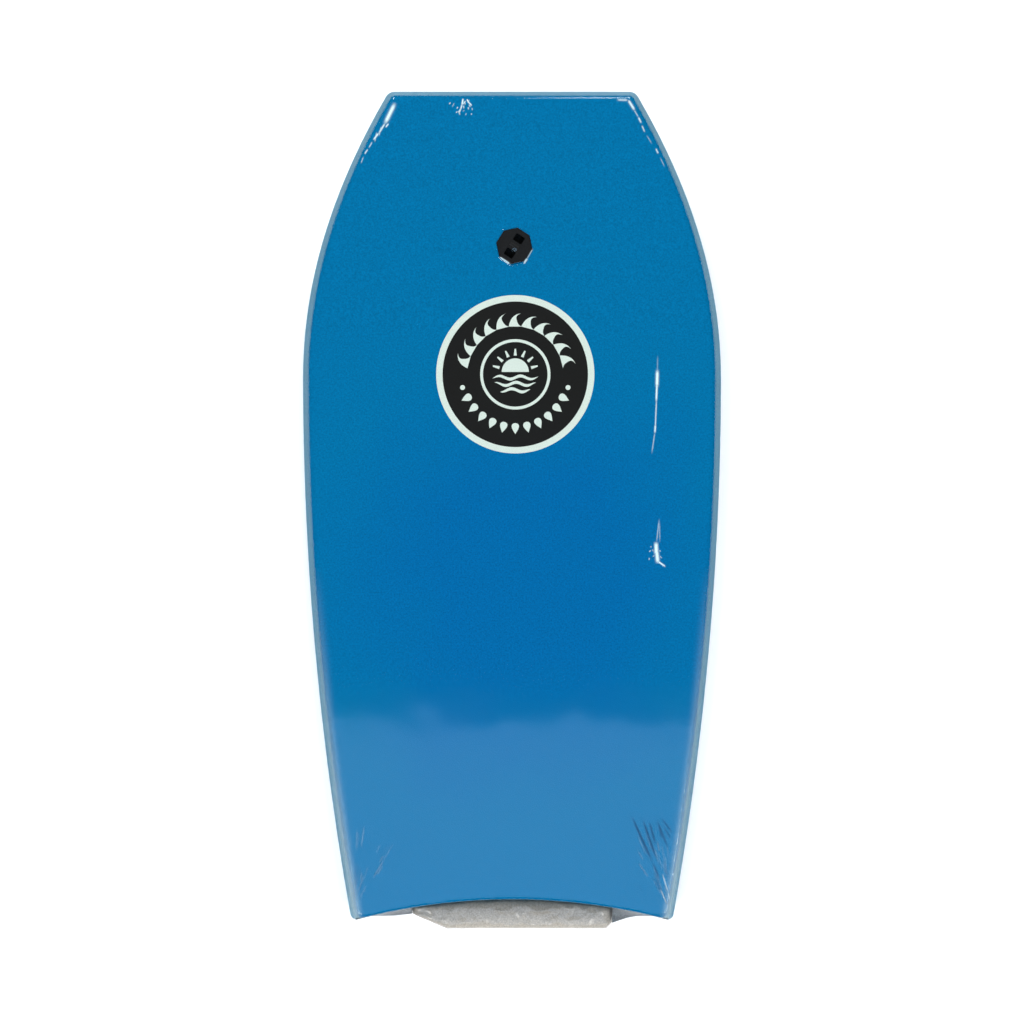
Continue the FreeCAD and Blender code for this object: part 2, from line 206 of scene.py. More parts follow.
def height(p, s, level):
    """Height above the floor of a level of the board, curved up at the nose."""
    run = s - (p.length - p.rocker_length)
    if run <= 0:
        return level
    radius = (p.rocker_length ** 2 + p.rocker ** 2) / (2 * p.rocker)
    return radius - math.sqrt((radius - level) ** 2 - run ** 2)


def leaning(p, level, upper_lean, lower_lean):
    if level >= p.apex:
        return upper_lean * (level - p.apex) / (p.thickness - p.apex)
    return lower_lean * (p.apex - level) / p.apex


def outer_inset(p, level):
    """Distance in from the apex line to the outside of the rail at a level."""
    return leaning(p, level, p.upper_lean, p.lower_lean)


def tail_inset(p, level):
    """The same at the tail, whose wall is steeper."""
    return leaning(p, level, p.tail_upper_lean, p.tail_lower_lean)


def crescent_at(p, x, inset):
    return p.crescent * (1 - (x / (p.tail_width / 2)) ** 2) + inset


def spread(first, last, steps):
    return [first + (last - first) * i / steps for i in range(steps + 1)]


def corner_curve(start, corner, end, steps=CORNER_STEPS):
    """A rounded corner as a curve of two tangents."""
    points = []
    for t in spread(0, 1, steps):
        a, b, c = (1 - t) ** 2, 2 * t * (1 - t), t ** 2
        points.append((a * start[0] + b * corner[0] + c * end[0],
                       a * start[1] + b * corner[1] + c * end[1]))
    return points


def mirrored(points):
    return [(-x, s) for x, s in reversed(points)]


def board_sides(p, inset, level, fine=1):
    """The lines round the board at an inset and a level: right, nose, left, tail.

    Each runs anticlockwise from the middle of one corner to the next.
    """
    def side_point(s):
        return half_width(p, s) - inset * math.hypot(1, side_slope(p, s)), s

    s_nose = p.length - inset
    at_tail = inset - outer_inset(p, level) + tail_inset(p, level)
    s_tail = at_tail
    for _ in range(6):
        s_tail = crescent_at(p, side_point(s_tail)[0], at_tail)
    nose_r = max(p.nose_corner - inset / 4, MM)
    tail_r = p.tail_corner + inset / 3
    nose_x, tail_x = side_point(s_nose)[0], side_point(s_tail)[0]
    tail_reach = tail_x - tail_r

    def tail_point(x):
        return x, crescent_at(p, x, at_tail)

    tail_arc = corner_curve(tail_point(tail_reach), (tail_x, s_tail), side_point(s_tail + tail_r))
    nose_arc = corner_curve(side_point(s_nose - nose_r), (nose_x, s_nose),
                            (nose_x - nose_r, s_nose))
    side = [side_point(s) for s in spread(s_tail + tail_r, s_nose - nose_r, SIDE_STEPS * fine)]
    across = spread(nose_x - nose_r, nose_r - nose_x, END_STEPS * fine)
    along = spread(-tail_reach, tail_reach, END_STEPS * fine)
    half = CORNER_STEPS // 2
    right = tail_arc[half:] + side[1:-1] + nose_arc[:half + 1]
    nose = nose_arc[half:] + [(x, s_nose) for x in across[1:-1]] + mirrored(nose_arc[half:])
    tail = mirrored(tail_arc[:half + 1]) + [tail_point(x) for x in along[1:-1]]
    tail += tail_arc[:half + 1]
    lines = [right, nose, mirrored(right), tail]
    return [[Vector((x, TAIL_Y + s, height(p, s, level))) for x, s in line] for line in lines]


# ---- Mesh builder ----
class Net:
    """Collects points and faces of one mesh."""

    def __init__(self):
        self.points = []
        self.faces = []

    def add(self, points):
        first = len(self.points)
        self.points.extend(points)
        return list(range(first, first + len(points)))

    def ring(self, sides):
        return self.add([v for line in sides for v in line[:-1]])

    def bridge(self, upper, lower, closed=True):
        count = len(upper) if closed else len(upper) - 1
        for i in range(count):
            j = (i + 1) % len(upper)
            self.faces.append((upper[i], lower[i], lower[j], upper[j]))

    def weave(self, rows):
        """Faces between rows of points that are equally long."""
        for low, high in zip(rows, rows[1:]):
            self.bridge(high, low, closed=False)

    def patch(self, ring, sides, surface, up=True):
        """Fills a ring with a net blended from its four sides, on a surface."""
        n_side, n_end = len(sides[0]) - 1, len(sides[1]) - 1
        right, nose, left, tail = sides
        nose, left = nose[::-1], left[::-1]
        ids = {}
        for j in range(n_side + 1):
            ids[n_end, j] = ring[j]
            ids[0, j] = ring[(2 * n_side + n_end - j) % len(ring)]
        for i in range(n_end + 1):
            ids[i, n_side] = ring[n_side + n_end - i]
            ids[i, 0] = ring[(2 * n_side + n_end + i) % len(ring)]
        for j in range(1, n_side):
            v = j / n_side
            for i in range(1, n_end):
                u = i / n_end
                spot = (1 - v) * tail[i] + v * nose[i] + (1 - u) * left[j] + u * right[j]
                spot -= (1 - u) * (1 - v) * tail[0] + u * (1 - v) * tail[-1]
                spot -= (1 - u) * v * nose[0] + u * v * nose[-1]
                ids[i, j] = self.add([Vector((spot.x, spot.y, surface(spot)))])[0]
        for j in range(n_side):
            for i in range(n_end):
                face = (ids[i, j], ids[i + 1, j], ids[i + 1, j + 1], ids[i, j + 1])
                self.faces.append(face if up else face[::-1])

    def object(self, name, recalculate=False):
        mesh = bpy.data.meshes.new(name)
        mesh.from_pydata(self.points, [], self.faces)
        if recalculate:
            work = bmesh.new()
            work.from_mesh(mesh)
            bmesh.ops.remove_doubles(work, verts=work.verts, dist=MM / 1000)
            bmesh.ops.recalc_face_normals(work, faces=work.faces)
            work.to_mesh(mesh)
            work.free()
        smooth(mesh)
        return placed(name, mesh)


def wrapped(p, profile, fine=1):
    """A net round the board through a profile's insets and levels, closed over and under."""
    net = Net()
    sides = [board_sides(p, inset, level, fine) for inset, level in profile]
    rings = [net.ring(lines) for lines in sides]
    for upper, lower in zip(rings, rings[1:]):
        net.bridge(upper, lower)
    net.patch(rings[0], sides[0], deck_height(p, profile[0][1]))
    net.patch(rings[-1], sides[-1], deck_height(p, profile[-1][1]), up=False)
    return net


def placed(name, data):
    """A new object in the scene."""
    made = bpy.data.objects.new(name, data)
    bpy.context.scene.collection.objects.link(made)
    return made


def mesh_of(name, work):
    """Turns a finished bmesh into a mesh."""
    mesh = bpy.data.meshes.new(name)
    work.to_mesh(mesh)
    work.free()
    return mesh


def evaluated_mesh(piece):
    """A piece's mesh with its modifiers applied."""
    bpy.context.view_layer.update()
    return bpy.data.meshes.new_from_object(
        piece.evaluated_get(bpy.context.evaluated_depsgraph_get()))


def smooth(mesh):
    mesh.polygons.foreach_set("use_smooth", [True] * len(mesh.polygons))
    mesh.set_sharp_from_angle(angle=SHARP_ANGLE)


def dress(piece, material, slot, *replaced):
    """Gives a finished piece its material and body and hides the nodes it stands for. Its slot is
    not used.
    """
    piece.data.materials.clear()
    piece.data.materials.append(material)
    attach(piece, BODY)
    if replaced:
        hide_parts(*replaced)


def bored(piece, centre, radius, depth, axis):
    """Takes a round bar out of a piece for good, for the hole of the plug."""
    work = bmesh.new()
    turn = Vector((0, 0, 1)).rotation_difference(axis).to_matrix().to_4x4()
    bmesh.ops.create_cone(work, cap_ends=True, segments=64, radius1=radius, radius2=radius,
                          depth=depth, matrix=Matrix.Translation(centre) @ turn)
    cutter = placed("plug_cutter", mesh_of("plug_cutter", work))
    cut = piece.modifiers.new("bore", "BOOLEAN")
    cut.operation = "DIFFERENCE"
    cut.solver = "EXACT"
    cut.object = cutter
    result, old = evaluated_mesh(piece), piece.data
    piece.modifiers.remove(cut)
    piece.data = result
    bpy.data.meshes.remove(old)
    bpy.data.objects.remove(cutter)
    smooth(piece.data)


# ---- Node helpers ----
def new_material(name):
    """A bare material: itself, its tree, its output and the object's own coordinates."""
    material = bpy.data.materials.new(name)
    material.use_nodes = True
    tree = material.node_tree
    tree.nodes.clear()
    out = tree.nodes.new("ShaderNodeOutputMaterial")
    return material, tree, out, tree.nodes.new("ShaderNodeTexCoord").outputs["Object"]


def fill(tree, socket, value):
    """Links a socket, or gives it a plain value."""
    if isinstance(value, bpy.types.NodeSocket):
        tree.links.new(value, socket)
    else:
        socket.default_value = value


def node(tree, kind, *inputs, **values):
    """A node with its first sockets, its named sockets or its settings filled in."""
    made = tree.nodes.new(kind)
    for key, value in values.items():
        label = key.replace("_", " ")
        if label in made.inputs:
            fill(tree, made.inputs[label], value)
        else:
            setattr(made, key, value)
    for socket, value in zip(made.inputs, inputs):
        fill(tree, socket, value)
    return made


def maths(tree, operation, *inputs):
    return node(tree, "ShaderNodeMath", *inputs, operation=operation).outputs[0]


def noise_at(tree, place, scale, detail=3.0, rough=0.55):
    return node(tree, "ShaderNodeTexNoise", Vector=place, Scale=scale, Detail=detail,
                Roughness=rough).outputs["Fac"]


def ramp(tree, source, stops):
    """Colours or greys along a value."""
    made = node(tree, "ShaderNodeValToRGB", source)
    points = made.color_ramp.elements
    for i, (spot, tone) in enumerate(stops):
        point = points[i] if i < 2 else points.new(spot)
        point.position = spot
        point.color = (*(tone if isinstance(tone, tuple) else (tone,) * 3), 1.0)
    return made.outputs["Color"]


def multiplied(tree, first, second):
    return node(tree, "ShaderNodeMix", data_type="RGBA", blend_type="MULTIPLY", Factor=1.0,
                A=first, B=second).outputs["Result"]


def bump(tree, source, distance, strength=1.0, below=None):
    made = node(tree, "ShaderNodeBump", Distance=distance, Strength=strength, Height=source)
    if below is not None:
        tree.links.new(below, made.inputs["Normal"])
    return made.outputs["Normal"]


def mix_shaders(tree, factor, first, second):
    return node(tree, "ShaderNodeMixShader", factor, first.outputs[0], second.outputs[0])


def shade(base, factor):
    return tuple(max(0.0, min(1.0, c * factor)) for c in base)


def plain_shader(tree, out, base, rough, **values):
    """A Principled shader on the material's surface."""
    shader = node(tree, "ShaderNodeBsdfPrincipled", Base_Color=base, Roughness=rough, **values)
    tree.links.new(shader.outputs[0], out.inputs["Surface"])
    return shader


# ---- Materials ----
def foam_sheet(name, base, outer):
    """Closed-cell foam: tiny cells, fine grain and a painted reflection that leaves the middle a
    deeper blue and lightens the tone further out.
    """
    material, tree, out, place = new_material(name)
    cells = node(tree, "ShaderNodeTexVoronoi", feature="SMOOTH_F1", Vector=place, Scale=900.0,
                 Smoothness=0.6)
    # Painted reflection: the tone drifts from the deeper middle blue to the lighter outer blue.
    away = node(tree, "ShaderNodeVectorMath", place, PAINTED_REFLECTION_CENTRE, operation="DISTANCE")
    reflection_drift = maths(tree, "MULTIPLY_ADD", noise_at(tree, place, 7.0, detail=2.0), 0.16,
                  away.outputs["Value"])
    tone = ramp(tree, reflection_drift, [(0.20, base), (0.38, outer)])
    grain = noise_at(tree, place, 480.0, detail=3.0, rough=0.65)
    speck = ramp(tree, grain, [(0.36, 0.80), (0.64, 1.14)])
    relief = bump(tree, cells.outputs["Distance"], 0.12 * MM, 0.6)
    relief = bump(tree, grain, 0.15 * MM, 0.5, relief)
    plain_shader(tree, out, multiplied(tree, tone, speck), 0.7, Normal=relief,
                 Specular_IOR_Level=0.02)
    return material


def beaded_core(base):
    """White foam of moulded beads."""
    material, tree, out, place = new_material("beaded_core_foam")
    beads = node(tree, "ShaderNodeTexVoronoi", Vector=place, Scale=260.0).outputs["Distance"]
    tone = ramp(tree, beads, [(0.2, base), (0.8, shade(base, 0.86))])
    plain_shader(tree, out, tone, 0.8, Normal=bump(tree, beads, -0.5 * MM))
    return material


def slick_sheet(base):
    """Smooth gloss sheet with slow waves and fine scuffs."""
    material, tree, out, place = new_material("slick_gloss_sheet")
    waves = noise_at(tree, place, 14.0, detail=2.0)
    tone = ramp(tree, waves, [(0.3, shade(base, 0.96)), (0.7, base)])
    scuffs = noise_at(tree, place, 260.0, detail=4.0)
    rough = ramp(tree, scuffs, [(0.35, 0.16), (0.75, 0.30)])
    plain_shader(tree, out, tone, rough, Normal=bump(tree, waves, 0.4 * MM, 0.5))
    return material


def moulded_plug(base):
    """Black moulded plastic with a fine spark-eroded grain."""
    material, tree, out, place = new_material("moulded_plug_plastic")
    grain = noise_at(tree, place, 1600.0, detail=2.0)
    tone = ramp(tree, grain, [(0.3, shade(base, 0.8)), (0.75, shade(base, 1.5))])
    rough = ramp(tree, noise_at(tree, place, 300.0), [(0.3, 0.38), (0.7, 0.52)])
    plain_shader(tree, out, tone, rough, Normal=bump(tree, grain, 0.05 * MM),
                 Specular_IOR_Level=0.12)
    return material


def printed_ink(name, base, light):
    """Gloss printed vinyl. Light ink shows the faint grain of its paper."""
    material, tree, out, place = new_material(name)
    grain = noise_at(tree, place, 900.0, detail=3.0)
    low, high = (0.90, 1.04) if light else (0.75, 1.25)
    tone = ramp(tree, grain, [(0.3, shade(base, low)), (0.7, shade(base, high))])
    plain_shader(tree, out, tone, 0.35, Normal=bump(tree, grain, 0.01 * MM),
                 Specular_IOR_Level=0.3)
    return material


def frosted_bag(base):
    """Frosted crinkled plastic over a soft pack: milky, with sharp small glints and a painted
    shadow that darkens it towards the board.
    """
    material, tree, out, place = new_material("frosted_bag_film")
    crinkle = node(tree, "ShaderNodeTexVoronoi", feature="DISTANCE_TO_EDGE", Vector=place,
                   Scale=190.0)
    warp = noise_at(tree, place, 60.0, detail=4.0)
    fibres = noise_at(tree, place, 520.0, detail=5.0, rough=0.7)
    tone = ramp(tree, fibres, [(0.28, shade(base, 0.62)), (0.5, shade(base, 0.95)),
                               (0.74, shade(base, 1.35))])
    # Painted shadow of the board: darker towards the board, lighter at the bag's back.
    along = node(tree, "ShaderNodeSeparateXYZ", place).outputs["Y"]
    depth = node(tree, "ShaderNodeMapRange", Value=along, From_Min=BAG_LOW.y,
                 From_Max=BAG_HIGH.y)
    painted_board_shadow = ramp(tree, depth.outputs["Result"], [(0.0, 1.0), (1.0, 0.42)])
    relief = bump(tree, warp, 2.0 * MM, 0.8)
    relief = bump(tree, crinkle.outputs["Distance"], 0.6 * MM, 0.5, relief)
    relief = bump(tree, fibres, 0.35 * MM, 0.8, relief)
    plain_shader(tree, out, multiplied(tree, tone, painted_board_shadow), 0.42, Normal=relief, Coat_Weight=0.6,
                 Coat_Roughness=0.10, Subsurface_Weight=0.15,
                 Subsurface_Radius=(3 * MM, 3 * MM, 3 * MM))
    return material


def clear_film():
    """Clear film: mirror-like at a glance, see-through straight on, with painted white highlights
    on its pulls and along the rails and painted shade in its folds.
    """
    material, tree, out, place = new_material("clear_shrink_film")
    relief = bump(tree, noise_at(tree, place, 160.0, detail=2.0), 0.02 * MM, 0.4)
    facing = node(tree, "ShaderNodeLayerWeight", Blend=0.5).outputs["Facing"]
    mirror = maths(tree, "MULTIPLY_ADD", maths(tree, "POWER", facing, 5.0), FILM_GLANCE,
                   FILM_MIRROR)
    # The 'dark' layer is painted shade along the folds.
    painted_fold_shade = node(tree, "ShaderNodeAttribute", attribute_name="dark").outputs["Fac"]
    clear = node(tree, "ShaderNodeBsdfTransparent",
                 Color=ramp(tree, painted_fold_shade, [(0.0, 1.0), (1.0, FOLD_SHADE_TINT)]))
    gloss = node(tree, "ShaderNodeBsdfGlossy", Color=(0.8, 1.0, 1.0, 1.0), Roughness=0.07,
                 Normal=relief)
    # The 'white' layer is painted highlight, mixed in as a white diffuse.
    painted_highlight = node(tree, "ShaderNodeAttribute", attribute_name="white").outputs["Fac"]
    highlight_white = node(tree, "ShaderNodeBsdfDiffuse", Color=(0.75, 0.96, 1.0, 1.0))
    shine = mix_shaders(tree, mirror, clear, gloss)
    highlighted = mix_shaders(tree, painted_highlight, shine, highlight_white)
    tree.links.new(highlighted.outputs[0], out.inputs["Surface"])
    return material


def gathered_film():
    """Film in tight folds, darkened with painted shadow: grey, half see-through, with glossy
    streaks.
    """
    material, tree, out, place = new_material("gathered_film")
    stretch = node(tree, "ShaderNodeMapping", Vector=place, Scale=(1.0, 4.0, 1.0))
    streaks = noise_at(tree, stretch.outputs[0], 70.0, detail=5.0, rough=0.7)
    # The dark greys are painted shadow seen through the folds.
    tone = ramp(tree, streaks, [(0.35, (0.03, 0.045, 0.055)), (0.55, (0.07, 0.095, 0.11)),
                                (0.75, (0.20, 0.26, 0.29))])
    folds = plain_shader(tree, out, tone, 0.25, Normal=bump(tree, streaks, 1.0 * MM, 0.6))
    clear = tree.nodes.new("ShaderNodeBsdfTransparent")
    cover = ramp(tree, streaks, [(0.3, 0.93), (0.7, 0.72)])
    seen = mix_shaders(tree, cover, clear, folds)
    tree.links.new(seen.outputs[0], out.inputs["Surface"])
    return material


# ---- Operators ----
class PieceOperator:
    """What every operator here shares: it builds its pieces from the scene's properties."""
    bl_options = {"REGISTER", "UNDO"}

    def execute(self, context):
        self.build(context.scene, context.scene.board_sizes)
        return {"FINISHED"}

    def tint(self, name):
        return tuple(getattr(bpy.context.scene.finish_colours, name))


def plug_axis(p):
    """Where the plug's axis meets the deck, and which way it points."""
    s = PLUG_AT.y - TAIL_Y
    radius = (p.rocker_length ** 2 + p.rocker ** 2) / (2 * p.rocker)
    run = max(0.0, s - (p.length - p.rocker_length))
    lean = run / (radius - p.thickness)
    axis = Vector((0, -lean, math.sqrt(1 - lean ** 2)))
    return Vector((PLUG_AT.x, PLUG_AT.y, height(p, s, p.thickness))), axis


def deck_height(p, level):
    return lambda spot: height(p, spot.y - TAIL_Y, level)


def rounded_edge(p, radius, gap):
    """Insets and levels round the deck's edge, from its flat to the rail's slope."""
    slope = math.atan2(p.upper_lean, p.thickness - p.apex)
    turn = math.pi / 2 - slope
    low = p.thickness - radius * (1 - math.cos(turn))
    middle = outer_inset(p, low) + radius * math.sin(turn)
    steps = spread(0, turn, ROUND_STEPS)
    reach = radius + gap
    return [(middle - reach * math.sin(a), p.thickness - radius + reach * math.cos(a))
            for a in steps]


class BODYBOARD_OT_deck(PieceOperator, bpy.types.Operator):
    """Deck sheet with a rounded edge, tucked in at the seam with the rails"""
    bl_idname = "bodyboard.deck"
    bl_label = "Deck sheet"

    def build(self, scene, p):
        seam = p.thickness - p.deck_skin
        profile = rounded_edge(p, p.edge_round, 0)
        profile += [(outer_inset(p, seam + 0.5 * MM), seam + 0.5 * MM),
                    (outer_inset(p, seam) + 0.35 * MM, seam + 0.2 * MM),
                    (outer_inset(p, seam) + 1.2 * MM, seam + 0.05 * MM)]
        piece = wrapped(p, profile).object("deck_sheet")
        spot, axis = plug_axis(p)
        bored(piece, spot, FLANGE_SEAT, 40 * MM, axis)
        foam = foam_sheet("deck_foam_blue", self.tint("deck"), self.tint("deck_outer_reflection"))
        dress(piece, foam, "deck_foam", "deck_skin")


class BODYBOARD_OT_slick(PieceOperator, bpy.types.Operator):
    """Slick sheet under the board, with softened edges"""
    bl_idname = "bodyboard.slick"
    bl_label = "Slick sheet"

    def build(self, scene, p):
        top = p.slick_skin
        profile = [(outer_inset(p, top) + 0.6 * MM, top), (outer_inset(p, top), top - 0.2 * MM),
                   (outer_inset(p, top / 2), top / 2), (outer_inset(p, 0) + 0.3 * MM, 0.3 * MM),
                   (outer_inset(p, 0) + 1.1 * MM, 0)]
        piece = wrapped(p, profile).object("slick_sheet")
        spot, axis = plug_axis(p)
        bored(piece, spot - axis * p.thickness, NUT_SEAT, 20 * MM, axis)
        dress(piece, slick_sheet(self.tint("slick")), "slick_sheet", "slick_bottom")


def strip_profile(p, low, high):
    """The closed outline of a rail strip: rounded outer edges, plain inside."""
    edge = 0.45 * MM
    outside = [low + edge * 0.15, low + edge, *spread(low + 2 * edge, high - 2 * edge, 4),
               high - edge, high - edge * 0.15]
    pulls = [1.0, 0.3] + [0.0] * 5 + [0.3, 1.0]
    points = [(outer_inset(p, level) + pull * edge, level)
              for level, pull in zip(outside, pulls)]
    points += [(outer_inset(p, level) + p.rail_skin, level) for level in spread(high, low, 2)]
    return points


class BODYBOARD_OT_rails(PieceOperator, bpy.types.Operator):
    """Upper and lower strips of rail skin along both sides, the nose and the tail"""
    bl_idname = "bodyboard.rails"
    bl_label = "Rail strips"

    def build(self, scene, p):
        seam = p.thickness - p.deck_skin
        tint = self.tint("rail")
        # The rails take the same painted reflection, a little lighter away from the middle.
        foam = foam_sheet("rail_foam_blue", tint, shade(tint, 1.04))
        names = ("rail_right", "nose_strip", "rail_left", "tail_strip")
        for layer, low, high in (("lower", p.slick_skin, p.apex), ("upper", p.apex, seam)):
            profile = strip_profile(p, low, high)
            rounds = [board_sides(p, inset, level) for inset, level in profile]
            for k, name in enumerate(names):
                net = Net()
                lines = [net.add(sides[k]) for sides in rounds]
                net.weave(lines + lines[:1])
                for end in (0, -1):
                    net.faces.append(tuple(line[end] for line in lines))
                piece = net.object(f"{layer}_{name}_foam", recalculate=True)
                dress(piece, foam, "rail_foam", f"{layer}_{name}")


class BODYBOARD_OT_hardware(PieceOperator, bpy.types.Operator):
    """Finishes of the leash plug and of the foam core, which keep their own meshes"""
    bl_idname = "bodyboard.hardware"
    bl_label = "Plug and core"

    def build(self, scene, p):
        core, plastic = beaded_core(self.tint("core")), moulded_plug(self.tint("plug"))
        for name, material in (("plug_deck_half", plastic), ("plug_bottom_half", plastic),
                               ("foam_core", core)):
            frame["nodes"][name].data.materials.clear()
            frame["nodes"][name].data.materials.append(material)


def on_deck(p, spot, lift):
    """A point of the sticker's plan, laid on the deck at a small lift."""
    y = STICKER_AT.y + spot[1]
    return Vector((STICKER_AT.x + spot[0], y, height(p, y - TAIL_Y, p.thickness) + lift))


def flat_outline(name, outlines, p, lift, thick):
    """A thin printed shape from closed outlines, laid on the deck."""
    work = bmesh.new()
    for outline in outlines:
        verts = [work.verts.new((x, y, 0)) for x, y in outline]
        work.faces.new(verts)
    bmesh.ops.recalc_face_normals(work, faces=work.faces)
    for face in work.faces:
        if face.normal.z < 0:
            face.normal_flip()
    bmesh.ops.triangulate(work, faces=work.faces)
    return laid(name, work, p, lift, thick)


def laid(name, work, p, lift, thick):
    """Gives a flat mesh its thickness and lays it on the curved deck."""
    top = list(work.verts)
    grown = bmesh.ops.extrude_face_region(work, geom=list(work.faces))
    raised = {v for v in grown["geom"] if isinstance(v, bmesh.types.BMVert)}
    for v in top:
        v.co = on_deck(p, v.co, lift if v in raised else lift - thick)
    for v in raised:
        v.co = on_deck(p, v.co, lift)
    bmesh.ops.recalc_face_normals(work, faces=work.faces)
    mesh = mesh_of(name, work)
    smooth(mesh)
    return placed(name, mesh)


def disc_outline(x, y, radius, steps=32):
    return [(x + radius * math.cos(2 * math.pi * i / steps),
             y + radius * math.sin(2 * math.pi * i / steps)) for i in range(steps)]


def ring_mesh(inner, outer, steps=160, rows=3):
    """A flat ring, or a disc when the inner radius is nought."""
    work = bmesh.new()
    rounds = []
    for r in spread(inner, outer, rows):
        if r == 0:
            rounds.append([work.verts.new((0, 0, 0))] * steps)
        else:
            rounds.append([work.verts.new((x, y, 0)) for x, y in disc_outline(0, 0, r, steps)])
    for low, high in zip(rounds, rounds[1:]):
        for i in range(steps):
            j = (i + 1) % steps
            corners = [low[i], high[i], high[j], low[j]]
            if low[i] is low[j]:
                corners = corners[:3]
            work.faces.new(corners)
    return work


def wave_shape(tall):
    """A bold wave that leans over, filled."""
    corners = ((-0.50, -0.50), (-0.34, 0.42), (0.44, 0.50), (-0.04, 0.34), (0.12, -0.04),
               (0.20, -0.42), (0.50, -0.50))
    outline = []
    for k in (0, 2, 4):
        outline += corner_curve(*corners[k:k + 3], steps=10)[:-1]
    return [(tall * x, tall * y) for x, y in outline + [corners[-1]]]


def drop_shape(wide, tall):
    """A water drop, point up."""
    outline = []
    for t in spread(0, 1, 30)[:-1]:
        angle = 2 * math.pi * t
        narrow = math.sin(angle / 2) ** 1.5
        outline.append((wide * 0.66 * math.sin(angle) * narrow, tall / 2 * math.cos(angle)))
    return outline[::-1]


def outline_object(name, outline):
    mesh = bpy.data.meshes.new(name)
    mesh.from_pydata([(x, y, 0) for x, y in outline], [], [tuple(range(len(outline)))])
    return placed(name, mesh)


def marks_tree(name):
    """Geometry nodes that set a mark at even steps along an arc, feet to the centre."""
    tree = bpy.data.node_groups.new(name, "GeometryNodeTree")
    tree.interface.new_socket("Geometry", in_out="OUTPUT", socket_type="NodeSocketGeometry")
    for label, kind in (("Mark", "Object"), ("Radius", "Float"), ("First Angle", "Float"),
                        ("Last Angle", "Float"), ("Count", "Int"), ("Material", "Material")):
        tree.interface.new_socket(label, in_out="INPUT", socket_type="NodeSocket" + kind)
    given = tree.nodes.new("NodeGroupInput").outputs
    index = tree.nodes.new("GeometryNodeInputIndex").outputs[0]
    angle = node(tree, "ShaderNodeMapRange", Value=index, To_Min=given["First Angle"],
                 From_Max=maths(tree, "SUBTRACT", given["Count"], 1.0),
                 To_Max=given["Last Angle"]).outputs["Result"]
    x, y = (maths(tree, "MULTIPLY", maths(tree, wave, angle), given["Radius"])
            for wave in ("COSINE", "SINE"))
    place = node(tree, "ShaderNodeCombineXYZ", X=x, Y=y).outputs[0]
    spin = node(tree, "ShaderNodeCombineXYZ", Z=maths(tree, "SUBTRACT", angle, math.pi / 2))
    line = node(tree, "GeometryNodeMeshLine", Count=given["Count"]).outputs[0]
    moved = node(tree, "GeometryNodeSetPosition", Geometry=line, Position=place).outputs[0]
    mark = node(tree, "GeometryNodeObjectInfo", Object=given["Mark"]).outputs["Geometry"]
    copies = node(tree, "GeometryNodeInstanceOnPoints", Points=moved, Instance=mark,
                  Rotation=spin.outputs[0]).outputs[0]
    real = node(tree, "GeometryNodeRealizeInstances", copies).outputs[0]
    ink = node(tree, "GeometryNodeSetMaterial", Geometry=real, Material=given["Material"])
    node(tree, "NodeGroupOutput", ink.outputs[0])
    return tree


def marks_along(tree, mark, ink, radius, first, last, count):
    """Runs the marks tree once and returns the flat result as a mesh."""
    carrier = placed("marks", bpy.data.meshes.new("marks"))
    nodes = carrier.modifiers.new("marks", "NODES")
    nodes.node_group = tree
    values = {"Mark": mark, "Radius": radius, "First Angle": math.radians(first),
              "Last Angle": math.radians(last), "Count": count, "Material": ink}
    for item in tree.interface.items_tree:
        if item.in_out == "INPUT":
            nodes[item.identifier] = values[item.name]
    mesh = evaluated_mesh(carrier)
    bpy.data.objects.remove(carrier)
    bpy.data.objects.remove(mark)
    return mesh


def sun_and_sea():
    """The middle emblem: a half sun with rays over three swells."""
    middle = Vector((0, 3 * MM))
    shapes = [[(17 * MM * math.cos(a), middle.y + 17 * MM * math.sin(a))
               for a in spread(0, math.pi, 28)]]
    for i in range(7):
        angle = math.radians(15 + 25 * i)
        across = Vector((-math.sin(angle), math.cos(angle)))
        out = Vector((math.cos(angle), math.sin(angle)))
        base, tip = middle + out * 20.5 * MM, middle + out * 29 * MM
        wide, slim = 1.9 * MM, 0.9 * MM
        shapes.append([tuple(base - across * wide), tuple(tip - across * slim),
                       tuple(tip + across * slim), tuple(base + across * wide)])
    for row, (half, low) in enumerate(((29, -4), (26, -12), (19, -20))):
        upper, lower = [], []
        for x in spread(-half, half, 36):
            swell = 2.0 * math.sin(x / 29 * 2.2 * math.pi + row * 1.3)
            taper = 1.9 * (1 - (x / half) ** 4)
            upper.append((x * MM, (low + swell + taper) * MM))
            lower.append((x * MM, (low + swell - taper) * MM))
        shapes.append(upper[1:-1] + lower[::-1])
    return shapes


